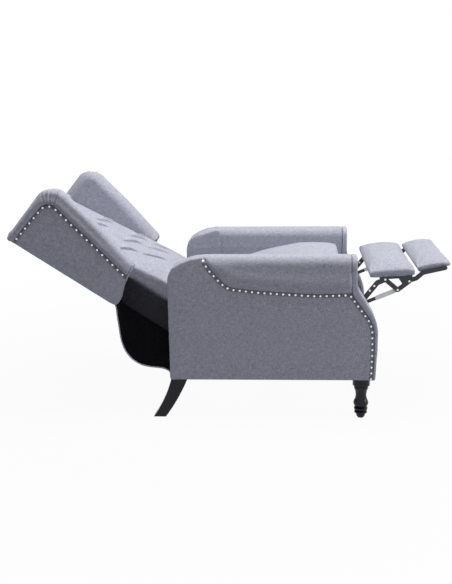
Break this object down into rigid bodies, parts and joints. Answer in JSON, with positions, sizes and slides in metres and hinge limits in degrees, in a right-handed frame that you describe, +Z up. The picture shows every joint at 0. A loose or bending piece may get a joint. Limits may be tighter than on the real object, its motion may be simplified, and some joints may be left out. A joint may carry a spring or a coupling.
{
  "type": "wingback recliner",
  "caption": "Push-back wingback recliner with tufted back, nailhead trim, turned front legs and a folding footrest, stored fully reclined.",
  "frame": {"origin": "middle of the reclined outline, on the floor", "axes": "+X forward out of the seat, +Y to the sitter's left, +Z up"},
  "size_m": [1.625, 0.7, 0.8752],
  "materials": {
    "upholstery_fabric": "woven linen look",
    "black_cloth": "nonwoven",
    "leg_wood": "dark stain, gloss",
    "frame_wood": "planed",
    "webbing": "elastic webbing",
    "black_steel": "satin",
    "bright_steel": "zinc plated",
    "nail_nickel": "polished",
    "sleeve_plastic": "matte",
    "glide_plastic": "matte"
  },
  "bodies": {
    "base": {"outer_side_panel_left": "upholstery_fabric", "outer_side_panel_right": "upholstery_fabric", "inner_side_panel_left": "upholstery_fabric", "inner_side_panel_right": "upholstery_fabric", "arm_pad_left": "upholstery_fabric", "arm_pad_right": "upholstery_fabric", "arm_front_panel_left": "upholstery_fabric", "arm_front_panel_right": "upholstery_fabric", "arm_frames": "frame_wood", "front_leg_left": "leg_wood", "front_leg_right": "leg_wood", "rear_leg_left": "leg_wood", "rear_leg_right": "leg_wood", "foot_glides": "glide_plastic", "rear_rail": "frame_wood", "front_rail": "frame_wood", "mechanism_plates": "black_steel", "base_pivot_pins": "bright_steel", "arm_nailheads": "nail_nickel", "rear_skirt": "upholstery_fabric"},
    "seat": {"seat_rail_left": "frame_wood", "seat_rail_right": "frame_wood", "seat_front_rail": "frame_wood", "seat_rear_rail": "frame_wood", "seat_springs": "bright_steel", "seat_hangers": "black_steel", "seat_lift_pins": "bright_steel", "seat_cushion": "upholstery_fabric"},
    "seat_lift": {"seat_lift_links": "black_steel"},
    "back": {"back_post_left": "frame_wood", "back_post_right": "frame_wood", "back_cross_rails": "frame_wood", "back_webbing": "webbing", "outside_back_panel": "upholstery_fabric", "lower_back_covers": "black_cloth", "back_brackets": "black_steel", "wing_left": "upholstery_fabric", "wing_right": "upholstery_fabric", "wing_outer_panel_left": "upholstery_fabric", "wing_outer_panel_right": "upholstery_fabric", "wing_nailheads": "nail_nickel", "inside_back_cushion": "upholstery_fabric", "head_roll": "upholstery_fabric"},
    "rear_link_pair": {"rear_links": "black_steel", "knee_pins": "bright_steel"},
    "front_link_pair": {"front_links": "black_steel", "front_link_rivets": "bright_steel"},
    "footrest": {"pad_brackets": "black_steel", "footrest_board": "frame_wood", "footrest_pad": "upholstery_fabric", "footrest_pins": "bright_steel"},
    "flipper": {"flipper_brackets": "black_steel", "flipper_board": "frame_wood", "flipper_pad": "upholstery_fabric"},
    "rear_control": {"rear_control_links": "black_steel", "control_knee_pins": "bright_steel"},
    "front_control": {"front_control_links": "black_steel", "control_link_sleeves": "sleeve_plastic"}
  },
  "joints": [
    {"name": "back_recline", "type": "hinge", "parent": "base", "child": "back", "pos_m": [-0.22056, 0, 0.352], "axis": [0, 1, 0], "range_deg": [0, 40], "deforming": ["rear_skirt"]},
    {"name": "footrest_swing", "type": "hinge", "parent": "base", "child": "rear_link_pair", "pos_m": [0.36944, 0, 0.307], "axis": [0, 1, 0], "range_deg": [0, 119.68]},
    {"name": "front_link_fold", "type": "hinge", "parent": "rear_link_pair", "child": "front_link_pair", "pos_m": [0.46744, 0, 0.417], "axis": [0, 1, 0], "range_deg": [-137.22, 0]},
    {"name": "footrest_turn", "type": "hinge", "parent": "front_link_pair", "child": "footrest", "pos_m": [0.56844, 0, 0.521], "axis": [0, 1, 0], "range_deg": [0, 111.24]},
    {"name": "flipper_fold", "type": "hinge", "parent": "footrest", "child": "flipper", "pos_m": [0.65744, 0, 0.514], "axis": [0, 1, 0], "range_deg": [0, 165]},
    {"name": "rear_control_swing", "type": "hinge", "parent": "base", "child": "rear_control", "pos_m": [0.30944, 0, 0.344], "axis": [0, 1, 0], "range_deg": [0, 125.13]},
    {"name": "front_control_turn", "type": "hinge", "parent": "footrest", "child": "front_control", "pos_m": [0.61544, 0, 0.481], "axis": [0, 1, 0], "range_deg": [-95.95, 0]},
    {"name": "seat_tilt", "type": "hinge", "parent": "base", "child": "seat", "pos_m": [-0.00056, 0, 0.332], "axis": [0, 1, 0], "range_deg": [0, 7]},
    {"name": "seat_lift_swing", "type": "hinge", "parent": "base", "child": "seat_lift", "pos_m": [0.23444, 0, 0.331], "axis": [0, 1, 0], "range_deg": [0, 31.56]}
  ],
  "couplings": [
    {"joint": "front_link_fold", "follows": "footrest_swing", "ratio": -1.1466},
    {"joint": "footrest_turn", "follows": "footrest_swing", "ratio": 0.92953},
    {"joint": "flipper_fold", "follows": "footrest_swing", "ratio": 1.3787},
    {"joint": "rear_control_swing", "follows": "footrest_swing", "ratio": 1.0455},
    {"joint": "front_control_turn", "follows": "footrest_swing", "ratio": -0.80173},
    {"joint": "seat_tilt", "follows": "footrest_swing", "ratio": 0.05849},
    {"joint": "seat_lift_swing", "follows": "footrest_swing", "ratio": 0.26368}
  ]
}
